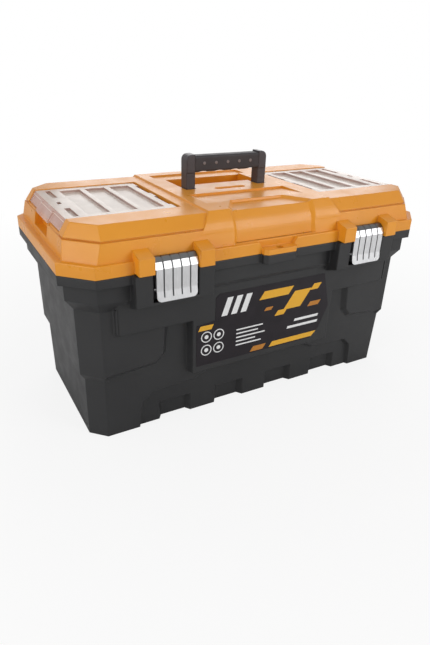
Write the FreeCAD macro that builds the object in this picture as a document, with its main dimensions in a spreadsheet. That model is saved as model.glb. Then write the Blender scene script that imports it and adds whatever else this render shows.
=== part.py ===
import FreeCAD, Part
import Sketcher
import os
import re

# Plastic tool box with a hinged lid, two draw latches, a folding carry handle,
# two clear organiser covers and a lift-out tray. Millimetres, +X along the length,
# the front faces -Y, +Z up, origin under the middle of the box at floor level.

DRIVING_SIZES = {
    # overall form
    "overall_length": 559.0,
    "overall_depth": 284.0,
    "rim_corner_cut": 34.6,
    "front_reach": 155.4,
    "wall": 3.0,
    "floor_thickness": 4.0,
    "parting_gap": 0.3,
    "parting_height": 238.8,
    # outside of the tub, from the flange down
    "flange_thickness": 12.0,
    "collar_end_inset": 7.0,
    "collar_front_inset": 8.5,
    "collar_cut": 30.5,
    "collar_bottom_height": 205.0,
    "belt_end_inset": 17.5,
    "belt_front_inset": 19.5,
    "belt_cut": 24.5,
    "belt_top_height": 190.0,
    "belt_bottom_height": 98.5,
    "skirt_end_inset": 23.5,
    "skirt_front_inset": 26.0,
    "skirt_cut": 20.0,
    "skirt_top_height": 88.3,
    "foot_front_inset": 30.0,
    # relief of the long walls
    "band_front_inset": 13.5,
    "band_half_length": 217.0,
    "band_bottom_height": 156.5,
    "band_end_slope": 9.0,
    "band_rib_gap": 1.6,
    "band_rib_width": 2.4,
    "panel_half_length": 117.0,
    "panel_bottom_height": 76.0,
    "panel_side_slope": 4.0,
    "side_panel_inner": 152.0,
    "side_panel_corner": 15.0,
    "arch_half_length": 187.0,
    "arch_height": 53.0,
    "arch_middle_half_length": 86.0,
    "arch_setback": 5.0,
    "notch_depth": 8.0,
    "notch_height": 29.0,
    "notch_length": 49.0,
    "notch_inner_start": 20.5,
    "notch_outer_start": 109.5,
    # latch pads and padlock tab
    "latch_centre": 150.5,
    "pad_length": 102.5,
    "pad_front": 150.0,
    "pad_bottom_height": 199.0,
    "pad_recess_length": 60.0,
    "pad_recess_depth": 8.8,
    "pad_recess_bottom": 203.0,
    "bail_lug_length": 18.0,
    "tab_half_length": 26.0,
    "tab_front": 152.0,
    "tab_corner": 4.5,
    "tab_thickness": 7.0,
    "padlock_hole_radius": 5.0,
    "padlock_hole_place": 144.5,
    # rear hinge
    "hinge_centre": 160.0,
    "hinge_length": 76.0,
    "knuckle_length": 30.0,
    "knuckle_gap": 0.5,
    "knuckle_radius": 6.4,
    "hinge_height": 240.0,
    "hinge_rod_radius": 2.5,
    "rod_clearance": 0.05,
    # lid
    "lid_rim_height": 15.5,
    "lid_wall_end_inset": 8.1,
    "lid_wall_front_inset": 5.2,
    "lid_wall_cut": 30.9,
    "seam_height": 278.7,
    "seam_step": 1.4,
    "seam_groove_height": 1.8,
    "seam_groove_depth": 2.8,
    "wall_lean": 3.9,
    "lid_top_height": 294.3,
    "end_lean": 10.2,
    "front_lean": 12.7,
    "lid_top_cut": 24.1,
    "block_length": 19.5,
    "block_foot_height": 240.0,
    "block_face_height": 260.5,
    "block_top_height": 266.5,
    "saddle_half_foot": 106.0,
    "saddle_half_top": 94.0,
    "saddle_proud": 1.1,
    "saddle_top_height": 296.8,
    "saddle_edge_rounding": 2.5,
    "saddle_foot_drop": 22.0,
    "brow_share": 0.45,
    "apron_half_length": 77.0,
    "apron_back": 36.0,
    "apron_front": 86.0,
    "apron_depth": 3.0,
    "rear_strip_back": 102.0,
    "rear_strip_half_length": 78.0,
    "rear_strip_depth": 2.3,
    "front_panel_half_length": 59.0,
    "front_panel_side_run": 5.5,
    "front_panel_back": 85.0,
    "front_panel_back_half_length": 38.0,
    "front_panel_depth": 3.6,
    "rim_edge_rounding": 1.2,
    "well_wall": 3.0,
    "well_inner": 119.5,
    "well_outer": 248.0,
    "well_half_width": 75.0,
    "well_bottom_height": 262.0,
    "finger_notch_half_width": 33.0,
    "finger_notch_depth": 12.0,
    "finger_notch_height": 18.0,
    "trough_gap": 1.1,
    "seat_gap": 0.5,
    # organiser covers
    "cover_drop": 1.1,
    "cover_thickness": 2.0,
    "cover_end_inset": 1.2,
    "cover_end_thickness": 2.4,
    "cover_gap": 0.4,
    "cover_half_width": 80.0,
    "cover_end_height": 280.0,
    "cover_hinge_place": 115.0,
    "cover_barrel_radius": 3.0,
    "cover_barrel_length": 20.0,
    "cover_rod_radius": 1.25,
    "cover_pocket_depth": 3.5,
    "cover_bar_width": 7.5,
    "cover_corner_pocket": 14.0,
    "cover_slot_width": 5.0,
    "cover_slot_half_length": 6.0,
    "divider_thickness": 1.8,
    "divider_height": 22.0,
    # carry handle
    "handle_half_width": 66.0,
    "handle_leg_width": 13.5,
    "handle_depth": 19.0,
    "handle_top_height": 343.3,
    "handle_pivot_place": 3.5,
    "handle_pivot_height": 285.5,
    "handle_clearance": 1.2,
    "handle_pin_radius": 3.0,
    "handle_pin_length": 27.0,
    "handle_recess_back": 74.5,
    "handle_recess_bottom": 273.8,
    "leg_step": 1.2,
    "leg_top_rounding": 8.0,
    "leg_edge_rounding": 1.5,
    "grip_height": 22.5,
    "grip_drop": 2.0,
    "grip_inset": 1.0,
    "grip_edge_rounding": 3.0,
    "scallop_radius": 18.5,
    "scallop_rise": 1.5,
    "stud_radius": 2.2,
    "stud_proud": 0.5,
    "thumb_scoop_half_length": 24.5,
    "thumb_scoop_width": 10.0,
    "thumb_scoop_place": 14.0,
    "thumb_scoop_depth": 3.2,
    "thumb_scoop_lip": 1.0,
    "handle_core_depth": 10.0,
    "handle_core_height": 12.0,
    # latches
    "latch_sheet": 1.5,
    "latch_front": 152.0,
    "hook_length": 56.0,
    "lever_length": 53.0,
    "hook_back": 138.4,
    "hook_bottom_height": 255.1,
    "hook_shoulder_place": 142.6,
    "facet_top_height": 252.0,
    "facet_foot_height": 244.0,
    "facet_run": 3.5,
    "lever_bottom_height": 204.0,
    "lever_bend_height": 217.0,
    "lever_flare": 2.0,
    "bail_wire_radius": 1.2,
    "bail_axis_place": 148.0,
    "bail_pivot_height": 233.0,
    "lever_pivot_height": 219.0,
    "bail_half_length": 23.5,
    "bail_end_reach": 28.4,
    "ear_reach": 145.6,
    "groove_pitch": 11.4,
    "groove_width": 1.8,
    "groove_depth": 0.7,
    "groove_end_height": 209.0,
    "pull_corner_rounding": 6.0,
    # label and tray
    "label_thickness": 0.4,
    "label_half_length": 112.0,
    "label_top_height": 187.5,
    "label_bottom_height": 85.0,
    "label_step_height": 150.0,
    "label_step_length": 28.0,
    "label_side_lean": 14.0,
    "tray_wall": 2.2,
    "tray_bottom_height": 178.0,
    "tray_top_height": 228.0,
    "tray_side_gap": 2.0,
    "tray_flange_thickness": 3.0,
    "tray_flange_gap": 2.0,
    "tray_spine": 16.0,
    "tray_handle_half_length": 62.0,
    "tray_handle_top_height": 254.0,
    "tray_handle_bar": 12.0,
}

# Lengths that several pieces share, written once as expressions of the driving sizes
HALF_LENGTH = "(overall_length / 2)"
HALF_DEPTH = "(overall_depth / 2)"
LID_BOTTOM = "(parting_height + parting_gap)"
RIM_TOP = "(parting_height + parting_gap + lid_rim_height)"
FLANGE_BOTTOM = "(parting_height - flange_thickness)"
HINGE_PLACE = "(front_reach - knuckle_radius)"
SADDLE_FRONT = f"({HALF_DEPTH} - lid_wall_front_inset - wall_lean + saddle_proud)"
SADDLE_TOP_FRONT = f"({SADDLE_FRONT} - front_lean)"
SEAM_END = f"({HALF_LENGTH} - lid_wall_end_inset - wall_lean - seam_step)"
COVER_TOP = "(lid_top_height - cover_drop)"
COVER_HINGE_HEIGHT = f"({COVER_TOP} - cover_barrel_radius - 0.2)"
SEAT_HEIGHT = f"({COVER_TOP} - cover_thickness - cover_gap)"
COVER_END_BACK = "(cover_end_inset + cover_end_thickness)"
TROUGH_INNER = "(cover_hinge_place - cover_barrel_radius - trough_gap)"
CORNER_SHORTENING = "(2 - sqrt(2))"
FOOT_FRONT = f"({HALF_DEPTH} - foot_front_inset - arch_setback)"
SKIRT_FRONT = f"({HALF_DEPTH} - skirt_front_inset)"
BELT_FRONT = f"({HALF_DEPTH} - belt_front_inset)"
BAND_FRONT = f"({HALF_DEPTH} - band_front_inset)"
LEDGE_LENGTH = f"({HALF_LENGTH} - collar_end_inset - wall)"
LEDGE_DEPTH = f"({HALF_DEPTH} - collar_front_inset - wall)"
INNER_LENGTH = f"({HALF_LENGTH} - belt_end_inset - wall)"
LABEL_BACK = BAND_FRONT
# Flat facets that ease the bend of the lid's front between wall and slope
BROW_FACETS = 5

doc = FreeCAD.newDocument("tool_box")
sheet = doc.addObject("Spreadsheet::Sheet", "Sizes")
for row, (alias, size) in enumerate(DRIVING_SIZES.items(), 1):
    sheet.set(f"A{row}", alias)
    sheet.set(f"B{row}", str(size))
    sheet.setAlias(f"B{row}", alias)
doc.recompute()

ALIAS_WORD = re.compile(r"\b(" + "|".join(DRIVING_SIZES) + r")\b")


def bound(expression):
    """The expression as the document reads it, with each size looked up in the sheet."""
    return ALIAS_WORD.sub(r"Sizes.\1", str(expression))


def number(expression):
    return float(sheet.evalExpression(bound(expression)))


def new_body(label):
    body = doc.addObject("PartDesign::Body", label)
    body.Label = label
    return body


def origin_plane(body, role):
    return next(item for item in body.Origin.OriginFeatures if item.Role == role)


def new_sketch(body, name, role, offset="0"):
    sketch = body.newObject("Sketcher::SketchObject", name)
    sketch.AttachmentSupport = [(origin_plane(body, role), "")]
    sketch.MapMode = "FlatFace"
    sketch.setExpression("AttachmentOffset.Base.z", bound(offset))
    return sketch


def outline(body, name, role, points, offset="0"):
    """A closed outline on an origin plane, each corner tied to the sheet."""
    sketch = new_sketch(body, name, role, offset)
    corners = [FreeCAD.Vector(number(x), number(y), 0) for x, y in points]
    count = len(corners)
    lines = [Part.LineSegment(corners[i], corners[(i + 1) % count]) for i in range(count)]
    sketch.addGeometry(lines, False)
    joints = [Sketcher.Constraint("Coincident", i, 2, (i + 1) % count, 1) for i in range(count)]
    sketch.addConstraint(joints)
    for i, (x, y) in enumerate(points):
        for kind, size, value in (("DistanceX", x, corners[i].x), ("DistanceY", y, corners[i].y)):
            index = sketch.addConstraint(Sketcher.Constraint(kind, -1, 1, i, 1, value))
            sketch.setExpression(f"Constraints[{index}]", bound(size))
    return sketch


def extrude(body, name, sketch, length, cut=False, middle=False, reverse=False):
    """Pads a sketch along its plane's normal, or cuts it the same way."""
    kind = "PartDesign::Pocket" if cut else "PartDesign::Pad"
    feature = body.newObject(kind, name)
    feature.Profile = sketch
    feature.Midplane = middle
    feature.Reversed = reverse != cut
    feature.setExpression("Length", bound(length))
    return feature


def ruled_loft(body, name, sketches, cut=False):
    kind = "PartDesign::SubtractiveLoft" if cut else "PartDesign::AdditiveLoft"
    feature = body.newObject(kind, name)
    feature.Profile = sketches[0]
    feature.Sections = sketches[1:]
    feature.Ruled = True
    return feature


def block(body, name, x, y, z, cut=False):
    """A box between three (low, high) pairs of sizes."""
    kind = "PartDesign::SubtractiveBox" if cut else "PartDesign::AdditiveBox"
    feature = body.newObject(kind, name)
    for axis, (low, high), length in (("x", x, "Length"), ("y", y, "Width"), ("z", z, "Height")):
        feature.setExpression(f"Placement.Base.{axis}", bound(low))
        feature.setExpression(length, bound(f"({high}) - ({low})"))
    return feature


def round_bar(body, name, axis, start, centre, length, radius, cut=False):
    """A cylinder along X, Y or Z, from start along its axis, centred on the other two sizes."""
    kind = "PartDesign::SubtractiveCylinder" if cut else "PartDesign::AdditiveCylinder"
    feature = body.newObject(kind, name)
    turn = {"x": (0, 1, 0, 90), "y": (1, 0, 0, -90), "z": (0, 0, 1, 0)}[axis]
    rotation = FreeCAD.Rotation(FreeCAD.Vector(*turn[:3]), turn[3])
    feature.Placement = FreeCAD.Placement(FreeCAD.Vector(0, 0, 0), rotation)
    places = dict(zip([letter for letter in "xyz" if letter != axis], centre))
    places[axis] = start
    for letter, place in places.items():
        feature.setExpression(f"Placement.Base.{letter}", bound(place))
    feature.setExpression("Height", bound(length))
    feature.setExpression("Radius", bound(radius))
    return feature


def rounded(body, name, radius, wanted):
    """Rounds the edges of the body's tip that the test accepts."""
    doc.recompute()
    base = body.Tip
    edges = []
    for index, edge in enumerate(base.Shape.Edges, 1):
        if wanted(edge.BoundBox):
            edges.append(f"Edge{index}")
    fillet = body.newObject("PartDesign::Fillet", name)
    fillet.Base = (base, edges)
    fillet.setExpression("Radius", bound(radius))
    return fillet


def near(value, size, slack=0.02):
    return abs(value - number(size)) < slack


def octagon(half_x, half_y, cut):
    """Corners of a rectangle about the origin whose corners are cut off at 45 degrees."""
    first = [
        (f"{half_x}", f"{half_y} - {cut}"),
        (f"{half_x} - {cut}", f"{half_y}"),
    ]
    left = [(f"-({x})", y) for x, y in reversed(first)]
    back = [(f"-({x})", f"-({y})") for x, y in first]
    right = [(x, f"-({y})") for x, y in reversed(first)]
    return first + left + back + right


def octagon_stack(body, name, levels, cut=False):
    sketches = []
    for index, (height, half_x, half_y, corner) in enumerate(levels):
        points = octagon(half_x, half_y, corner)
        sketches.append(outline(body, f"{name}_level_{index}", "XY_Plane", points, height))
    return ruled_loft(body, name, sketches, cut)


def across(side, low, high):
    """A (low, high) pair of sizes on one side of the origin or mirrored to the other."""
    return (low, high) if side > 0 else (f"-({high})", f"-({low})")


def side_name(side):
    return "right" if side > 0 else "left"


def bevelled_cut(body, name, side, points_at, outer, inner, run):
    """Sinks a recess with sloping sides into the front (-1) or rear (1) wall.

    points_at(shift) is the outline drawn in by a shift; it moves in by run from outer to inner.
    """
    slope = f"({run}) / (({outer}) - ({inner}))"
    start = outline(body, f"{name}_mouth", "XZ_Plane", points_at(f"(0 - {slope})"),
                    f"{-side} * ({outer} + 1)")
    end = outline(body, f"{name}_back", "XZ_Plane", points_at(f"({run})"), f"{-side} * ({inner})")
    return ruled_loft(body, name, [start, end], cut=True)


# Tub

def tub_levels():
    skirt_x = f"{HALF_LENGTH} - skirt_end_inset"
    belt_x = f"{HALF_LENGTH} - belt_end_inset"
    collar_x = f"{HALF_LENGTH} - collar_end_inset"
    return [
        ("0", skirt_x, f"{HALF_DEPTH} - foot_front_inset", "skirt_cut"),
        ("skirt_top_height", skirt_x, SKIRT_FRONT, "skirt_cut"),
        ("belt_bottom_height", belt_x, BELT_FRONT, "belt_cut"),
        ("belt_top_height", belt_x, BELT_FRONT, "belt_cut"),
        ("collar_bottom_height", collar_x, f"{HALF_DEPTH} - collar_front_inset", "collar_cut"),
        (FLANGE_BOTTOM, collar_x, f"{HALF_DEPTH} - collar_front_inset", "collar_cut"),
    ]


def tub_cavity_levels():
    corner = f"belt_cut - wall * {CORNER_SHORTENING}"
    skirt_x = f"{HALF_LENGTH} - skirt_end_inset - wall"
    skirt_corner = f"skirt_cut - wall * {CORNER_SHORTENING}"
    notch_y = f"{FOOT_FRONT} - notch_depth - wall"
    arch_y = f"{FOOT_FRONT} - wall"
    return [
        ("floor_thickness", skirt_x, notch_y, skirt_corner),
        ("notch_height + wall", skirt_x, notch_y, skirt_corner),
        ("notch_height + 2 * wall", skirt_x, arch_y, skirt_corner),
        ("panel_bottom_height", skirt_x, arch_y, skirt_corner),
        ("panel_bottom_height + 2 * wall", skirt_x, f"{SKIRT_FRONT} - wall", skirt_corner),
        ("belt_bottom_height + wall", skirt_x, f"{SKIRT_FRONT} - wall", skirt_corner),
        ("belt_bottom_height + 4 * wall", INNER_LENGTH, f"{SKIRT_FRONT} - wall", corner),
        ("band_bottom_height + wall", INNER_LENGTH, f"{SKIRT_FRONT} - wall", corner),
        ("band_bottom_height + 3 * wall", INNER_LENGTH, f"{BELT_FRONT} - wall", corner),
        ("collar_bottom_height", INNER_LENGTH, f"{BELT_FRONT} - wall", corner),
    ]


def mirrored_outline(right_half):
    """An outline about the middle of the length, from its right half read bottom to top."""
    return right_half + [(f"-({x})", z) for x, z in reversed(right_half)]


def middle_recess_points(shift):
    belt_foot = f"{HALF_LENGTH} - belt_end_inset - belt_cut"
    return mirrored_outline([
        (f"{belt_foot} - {shift}", "skirt_top_height - 3 * wall"),
        (f"{belt_foot} - {shift}", f"belt_bottom_height + 1 - {shift}"),
        (f"side_panel_inner + side_panel_corner - {shift} / 3", f"belt_bottom_height + 7 - {shift}"),
        (f"side_panel_inner + 6 - {shift}", f"belt_bottom_height + side_panel_corner + 2 - {shift} / 3"),
        (f"side_panel_inner + 2 - {shift}", f"band_bottom_height + wall"),
    ])


def arch_points(shift):
    return mirrored_outline([
        (f"arch_half_length + 6 - {shift}", "-8"),
        (f"arch_half_length - {shift}", f"arch_height - 12 - {shift} / 2"),
        (f"arch_half_length - 15 - {shift} / 2", f"arch_height + 2 - {shift}"),
        (f"arch_middle_half_length + 20 - {shift} / 3", f"arch_height + 5 - {shift}"),
        (f"arch_middle_half_length + 4 - {shift}", f"arch_height + 12 - {shift} / 3"),
        (f"arch_middle_half_length - {shift}", "panel_bottom_height - 1"),
    ])


def notch_points(side, start, shift):
    low, high = across(side, f"{start} + {shift}", f"{start} + notch_length - {shift}")
    top = f"notch_height - {shift}"
    return [(low, "-8"), (high, "-8"), (high, top), (low, top)]


def add_tub_relief(tub, side):
    """Recesses, band and panel of the front wall (side -1) or the rear wall (side 1)."""
    word = "front" if side < 0 else "rear"
    bevelled_cut(tub, f"{word}_middle_recess", side, middle_recess_points, BELT_FRONT,
                 SKIRT_FRONT, f"{BELT_FRONT} - {SKIRT_FRONT}")
    bevelled_cut(tub, f"{word}_arch", side, arch_points, SKIRT_FRONT, FOOT_FRONT,
                 f"({SKIRT_FRONT} - {FOOT_FRONT}) / 2")
    for start in ("notch_inner_start", "notch_outer_start"):
        for end in (-1, 1):
            bevelled_cut(tub, f"{word}_{start[6:11]}_notch_{side_name(end)}", side,
                         lambda shift: notch_points(end, start, shift),
                         FOOT_FRONT, f"{FOOT_FRONT} - notch_depth", "notch_depth * 0.7")
    band = [
        ("band_half_length", f"{side} * {BAND_FRONT}"),
        ("band_half_length + band_end_slope", f"{side} * ({BAND_FRONT} - band_end_slope)"),
    ]
    band += [(f"-({x})", y) for x, y in reversed(band)]
    band_sketch = outline(tub, f"{word}_band_outline", "XY_Plane", band, "band_bottom_height")
    extrude(tub, f"{word}_band", band_sketch, "collar_bottom_height - band_bottom_height")
    rib_start = "band_half_length + band_rib_gap"
    for end in (-1, 1):
        block(tub, f"{word}_band_rib_{side_name(end)}",
              across(end, rib_start, f"{rib_start} + band_rib_width"),
              across(side, f"{BELT_FRONT} - 1", BAND_FRONT),
              ("band_bottom_height + 2", "belt_top_height + 2"))
    panel = [
        ("panel_half_length", f"{side} * {BAND_FRONT}"),
        ("panel_half_length + panel_side_slope", f"{side} * ({SKIRT_FRONT} - wall / 2)"),
    ]
    panel += [(f"-({x})", y) for x, y in reversed(panel)]
    panel_sketch = outline(tub, f"{word}_panel_outline", "XY_Plane", panel, "panel_bottom_height")
    extrude(tub, f"{word}_panel", panel_sketch, "band_bottom_height - panel_bottom_height + 1")


def hollow_behind_relief(tub, side):
    """Keeps the wall thin where the band and the panel stand out."""
    word = "front" if side < 0 else "rear"
    band_y = across(side, f"{BELT_FRONT} - 2 * wall", f"{BAND_FRONT} - wall")
    block(tub, f"{word}_band_hollow", ("-band_half_length + wall", "band_half_length - wall"),
          band_y, ("band_bottom_height + 3 * wall", "belt_top_height - wall"), cut=True)
    panel_y = across(side, f"{SKIRT_FRONT} - 2 * wall", f"{BAND_FRONT} - wall")
    block(tub, f"{word}_panel_hollow", ("-panel_half_length + wall", "panel_half_length - wall"),
          panel_y, ("panel_bottom_height + 2 * wall", "belt_top_height - wall"), cut=True)


def add_latch_pad(tub, side):
    word = side_name(side)
    centre = f"{side} * latch_centre"
    profile = [
        ("-pad_front", "parting_height"),
        ("-pad_front", "pad_bottom_height"),
        (f"-({BELT_FRONT} - 1)", "belt_top_height - 1"),
        (f"-({BELT_FRONT} - 1)", "parting_height"),
    ]
    sketch = outline(tub, f"{word}_pad_profile", "YZ_Plane", profile, centre)
    extrude(tub, f"{word}_pad", sketch, "pad_length", middle=True)


def cut_latch_recess(tub, side):
    """Room behind the latch, with the lug that carries its wire bail."""
    word = side_name(side)
    centre = f"{side} * latch_centre"
    back = "-(pad_front - pad_recess_depth)"
    block(tub, f"{word}_pad_recess",
          (f"{centre} - pad_recess_length / 2", f"{centre} + pad_recess_length / 2"),
          ("-(pad_front + 1)", back), ("pad_recess_bottom", "parting_height + 1"), cut=True)
    block(tub, f"{word}_pad_hollow",
          (f"{centre} - pad_length / 2 + 2 * wall", f"{centre} + pad_length / 2 - 2 * wall"),
          (f"{back} + wall", f"-({LEDGE_DEPTH} - 1)"),
          ("pad_recess_bottom + 3 * wall", "parting_height - wall"), cut=True)
    block(tub, f"{word}_bail_lug",
          (f"{centre} - bail_lug_length / 2", f"{centre} + bail_lug_length / 2"),
          ("-(bail_axis_place + 2)", f"{back} + 0.5"),
          ("bail_pivot_height - 4", "bail_pivot_height + 3.6"))
    round_bar(tub, f"{word}_bail_bore", "x", f"{centre} - bail_lug_length",
              ("-bail_axis_place", "bail_pivot_height"), "2 * bail_lug_length",
              "bail_wire_radius + rod_clearance", cut=True)


def tab_outline():
    half = [
        ("tab_half_length", f"-({HALF_DEPTH} - 1)"),
        ("tab_half_length", "-(tab_front - tab_corner)"),
        ("tab_half_length - tab_corner", "-tab_front"),
    ]
    return half + [(f"-({x})", y) for x, y in reversed(half)]


def add_hinge_knuckles(body, bar_name, centre, spans, web_z):
    """Barrels round the hinge rod, each joined to the rim by a web."""
    for index, (low, high) in enumerate(spans):
        start = f"{centre} + {low}"
        length = f"({high}) - ({low})"
        round_bar(body, f"{bar_name}_barrel_{index}", "x", start,
                  (HINGE_PLACE, "hinge_height"), length, "knuckle_radius")
        block(body, f"{bar_name}_web_{index}", (start, f"{centre} + {high}"),
              (f"{HALF_DEPTH} - 1.5", HINGE_PLACE), web_z)
    round_bar(body, f"{bar_name}_bore", "x", f"{centre} - hinge_length",
              (HINGE_PLACE, "hinge_height"), "2 * hinge_length",
              "hinge_rod_radius + rod_clearance", cut=True)


def make_base_tub():
    tub = new_body("base_tub")
    octagon_stack(tub, "tub_walls", tub_levels())
    flange = outline(tub, "flange_outline", "XY_Plane",
                     octagon(HALF_LENGTH, HALF_DEPTH, "rim_corner_cut"), FLANGE_BOTTOM)
    extrude(tub, "flange", flange, "flange_thickness")
    for side in (-1, 1):
        add_tub_relief(tub, side)
        add_latch_pad(tub, side)
    octagon_stack(tub, "tub_cavity", tub_cavity_levels(), cut=True)
    mouth = outline(tub, "mouth_outline", "XY_Plane",
                    octagon(LEDGE_LENGTH, LEDGE_DEPTH, "collar_cut"), "collar_bottom_height")
    extrude(tub, "mouth", mouth, "parting_height - collar_bottom_height + 1", cut=True,
            reverse=False)
    for side in (-1, 1):
        hollow_behind_relief(tub, side)
        cut_latch_recess(tub, side)
        outer = "hinge_length / 2"
        inner = "knuckle_length / 2 + knuckle_gap"
        spans = ((f"-{outer}", f"-({inner})"), (inner, outer))
        add_hinge_knuckles(tub, f"{side_name(side)}_hinge", f"{side} * hinge_centre", spans,
                           (f"{FLANGE_BOTTOM} + 1", "parting_height - 0.3"))
    tab = outline(tub, "tab_outline", "XY_Plane", tab_outline(), FLANGE_BOTTOM)
    extrude(tub, "padlock_tab", tab, "flange_thickness")
    round_bar(tub, "padlock_hole", "z", f"{FLANGE_BOTTOM} - 1", ("0", "-padlock_hole_place"),
              "flange_thickness + 2", "padlock_hole_radius", cut=True)
    recess_x = f"{HALF_LENGTH} - skirt_end_inset - 7 * wall"
    recess_y = f"{FOOT_FRONT} - notch_depth - 4 * wall"
    block(tub, "underside_recess",
          (f"-({recess_x})", recess_x), (f"-({recess_y})", recess_y),
          ("-1", "floor_thickness / 3"), cut=True)
    return tub


# Lid

def lid_levels(shrink="0"):
    wall_x = f"{HALF_LENGTH} - lid_wall_end_inset - {shrink}"
    wall_y = f"{HALF_DEPTH} - lid_wall_front_inset - {shrink}"
    cut = f"lid_wall_cut - {shrink} * {CORNER_SHORTENING}"
    seam_cut = f"{cut} - wall_lean * {CORNER_SHORTENING}"
    top_cut = f"lid_top_cut - {shrink} * {CORNER_SHORTENING}"
    step = "wall_lean - seam_step"
    return [
        (wall_x, wall_y, cut),
        (f"{wall_x} - wall_lean", f"{wall_y} - wall_lean", seam_cut),
        (f"{wall_x} - {step}", f"{wall_y} - {step}", seam_cut),
        (f"{wall_x} - {step} - end_lean", f"{wall_y} - {step} - front_lean", top_cut),
    ]


def add_lid_shell(lid):
    rim = outline(lid, "rim_outline", "XY_Plane",
                  octagon(HALF_LENGTH, HALF_DEPTH, "rim_corner_cut"), LID_BOTTOM)
    extrude(lid, "rim", rim, "lid_rim_height")
    foot, seam, step, top = lid_levels()
    octagon_stack(lid, "lid_wall", [(RIM_TOP, *foot), ("seam_height - seam_groove_height", *seam)])
    seam_x, seam_y, seam_cut = seam
    groove = (f"{seam_x} - seam_groove_depth", f"{seam_y} - seam_groove_depth", seam_cut)
    octagon_stack(lid, "seam_groove", [("seam_height - seam_groove_height - 1", *groove),
                                       ("seam_height", *groove)])
    octagon_stack(lid, "lid_slopes", [("seam_height", *step), ("lid_top_height", *top)])


def rectangle(half_x, half_y):
    return [(half_x, half_y), (f"-({half_x})", half_y),
            (f"-({half_x})", f"-({half_y})"), (half_x, f"-({half_y})")]


def add_saddle(lid):
    """The middle of the lid, a little proud of the two organiser blocks."""
    top = (SADDLE_TOP_FRONT, "saddle_top_height")
    brow = (SADDLE_FRONT, "seam_height")
    foot = (SADDLE_FRONT, "seam_height - saddle_foot_drop")
    lean = "(saddle_half_foot - saddle_half_top) / (saddle_top_height - seam_height)"
    sketches = []
    for index, (half_y, height) in enumerate([top] + eased_corner(top, brow, foot) + [foot]):
        half_x = f"saddle_half_foot - (({height}) - seam_height) * {lean}"
        sketches.append(outline(lid, f"saddle_level_{index}", "XY_Plane",
                                rectangle(half_x, half_y), height))
    ruled_loft(lid, "saddle", sketches[::-1])
    rounded(lid, "saddle_edges", "saddle_edge_rounding", saddle_front_edge)


def eased_corner(above, corner, below):
    """Points that ease the bend of a line at a corner, from above the corner to below it."""
    points = []
    for step in range(BROW_FACETS + 1):
        toward_below = step / BROW_FACETS
        upper, lower = (1 - toward_below) ** 2, toward_below ** 2
        points.append(tuple(
            f"({c}) + brow_share * ({upper} * (({a}) - ({c})) + {lower} * (({b}) - ({c})))"
            for a, c, b in zip(above, corner, below)))
    return points


def saddle_front_edge(box):
    level = near(box.ZMin, "saddle_top_height") and near(box.ZMax, "saddle_top_height")
    place = near(abs(box.YMin), SADDLE_TOP_FRONT) and near(abs(box.YMax), SADDLE_TOP_FRONT)
    return level and place and box.XLength > number("saddle_half_top")


def cut_saddle_top(lid):
    """Ramp in front of the handle and the shallow strip behind its recess."""
    above = "saddle_top_height + 1"
    slope = "apron_depth / (apron_front - apron_back)"
    ramp = [
        ("-apron_back", above),
        ("-apron_back", "saddle_top_height - apron_depth"),
        (f"-(apron_front + 1 / ({slope}))", above),
    ]
    sketch = outline(lid, "apron_profile", "YZ_Plane", ramp)
    extrude(lid, "apron", sketch, "2 * apron_half_length", cut=True, middle=True)
    block(lid, "rear_strip", ("-rear_strip_half_length", "rear_strip_half_length"),
          ("handle_recess_back - 1", "rear_strip_back"),
          ("saddle_top_height - rear_strip_depth", above), cut=True)


def cut_thumb_scoop(lid):
    """Oval hollow in front of the grip, with its own floor below the saddle's top."""
    radius = "thumb_scoop_width / 2"
    centre = f"thumb_scoop_half_length - {radius}"
    floor = "saddle_top_height - thumb_scoop_depth"
    block(lid, "thumb_scoop_backing",
          ("-(thumb_scoop_half_length + wall)", "thumb_scoop_half_length + wall"),
          (f"-(thumb_scoop_place + {radius} + wall)", f"-(thumb_scoop_place - {radius} - wall)"),
          (f"{floor} - wall", "saddle_top_height - 1"))
    block(lid, "thumb_scoop", (f"-({centre})", centre),
          (f"-(thumb_scoop_place + {radius})", f"-(thumb_scoop_place - {radius})"),
          (floor, "saddle_top_height + 1"), cut=True)
    for side in (-1, 1):
        round_bar(lid, f"thumb_scoop_{side_name(side)}_end", "z", floor,
                  (f"{side} * ({centre})", "-thumb_scoop_place"),
                  "thumb_scoop_depth + 1", radius, cut=True)
    rounded(lid, "thumb_scoop_edge", "thumb_scoop_lip", thumb_scoop_edge)


def thumb_scoop_edge(box):
    level = near(box.ZMin, "saddle_top_height") and near(box.ZMax, "saddle_top_height")
    reach = number("thumb_scoop_width / 2 + 0.1")
    place = number("-thumb_scoop_place")
    within = abs(box.YMin - place) < reach and abs(box.YMax - place) < reach
    return level and within and box.XLength < number("2 * thumb_scoop_half_length")


def front_line(depth):
    """Points down the front of the saddle, drawn in by a depth, from the top to the rim."""
    top = (f"-({SADDLE_TOP_FRONT} - ({depth}) / 2)", f"saddle_top_height - ({depth})")
    brow = (f"-({SADDLE_FRONT} - ({depth}))", f"seam_height - ({depth}) / 3")
    foot = (f"-({HALF_DEPTH} - lid_wall_front_inset - ({depth}))", f"{RIM_TOP} + 1")
    return [top] + eased_corner(top, brow, foot) + [foot]


def add_front_panel_backing(lid):
    """Thickens the saddle from inside where the front panel is sunk into it."""
    inner = front_line("front_panel_depth + wall")
    outer = front_line("wall / 2")
    sketch = outline(lid, "panel_backing_profile", "YZ_Plane", inner + outer[::-1])
    half = "front_panel_half_length + front_panel_side_run + wall"
    extrude(lid, "panel_backing", sketch, f"2 * ({half})", middle=True)


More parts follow.
